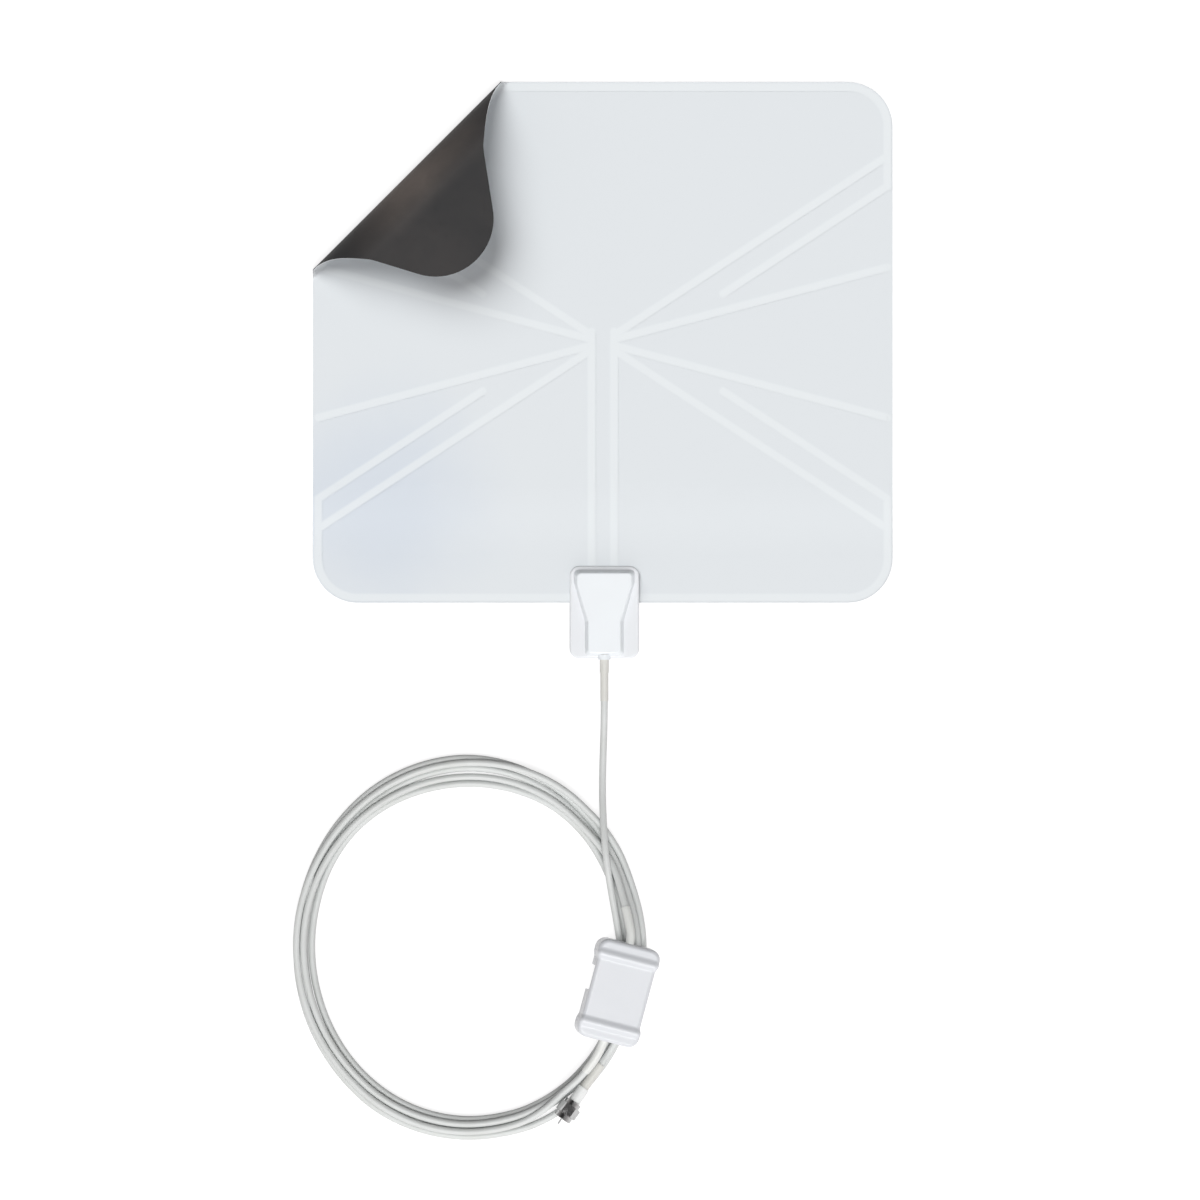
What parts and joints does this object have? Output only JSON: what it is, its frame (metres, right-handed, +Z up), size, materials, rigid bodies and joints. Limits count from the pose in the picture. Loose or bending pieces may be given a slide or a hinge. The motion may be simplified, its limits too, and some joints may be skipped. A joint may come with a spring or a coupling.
{
  "type": "flat indoor tv antenna",
  "caption": "Thin white film antenna with one corner rolled over, a clip-on feed housing, a coiled coaxial lead, an in-line amplifier and a screw-on connector.",
  "frame": {"origin": "middle of the panel's outline, on the black back face that lies on the floor", "axes": "+Z up out of the white front, +Y towards the edge opposite the feed housing, +X to the right seen from the front"},
  "size_m": [0.3413, 0.6026, 0.0275],
  "materials": {
    "white_film": "satin",
    "black_film": "satin",
    "foil": "satin",
    "white_plastic": "satin",
    "amp_plastic": "satin",
    "circuit_board": "gloss",
    "brass_contact": "polished",
    "ferrite": "matte",
    "copper_wire": "polished",
    "cream_sleeve": "matte",
    "cable_jacket": "satin",
    "tinned_steel": "satin",
    "black_plastic": "matte",
    "nickel": "polished",
    "dielectric": "matte"
  },
  "bodies": {
    "antenna": {"back_film": "black_film", "radiating_foil": "foil", "front_film": "white_film", "front_cover": "white_plastic", "rear_cover": "white_plastic", "matching_board": "circuit_board", "contact_eyelets": "brass_contact", "balun_core": "ferrite", "balun_winding": "copper_wire", "lead_sleeve": "cream_sleeve", "lead_cable": "cable_jacket", "amp_upper_shell": "amp_plastic", "amp_lower_shell": "amp_plastic", "amp_board": "circuit_board", "amp_shield": "tinned_steel", "power_socket": "tinned_steel", "power_tongue": "black_plastic", "input_cable": "cable_jacket", "output_cable": "cable_jacket", "input_sleeve": "cream_sleeve", "output_sleeve": "cream_sleeve", "connector_sleeve": "cream_sleeve", "connector_boot": "white_plastic", "connector_post": "nickel", "connector_dielectric": "dielectric", "centre_pin": "copper_wire", "connector_cable": "cable_jacket", "cable_coil": "cable_jacket"},
    "nut": {"coupling_nut": "nickel"}
  },
  "joints": [
    {"name": "nut_spin", "type": "hinge", "parent": "antenna", "child": "nut", "pos_m": [-0.01988, -0.43651, 0.01014], "axis": [-0.5846, -0.8046, 0.1045], "continuous": true}
  ]
}
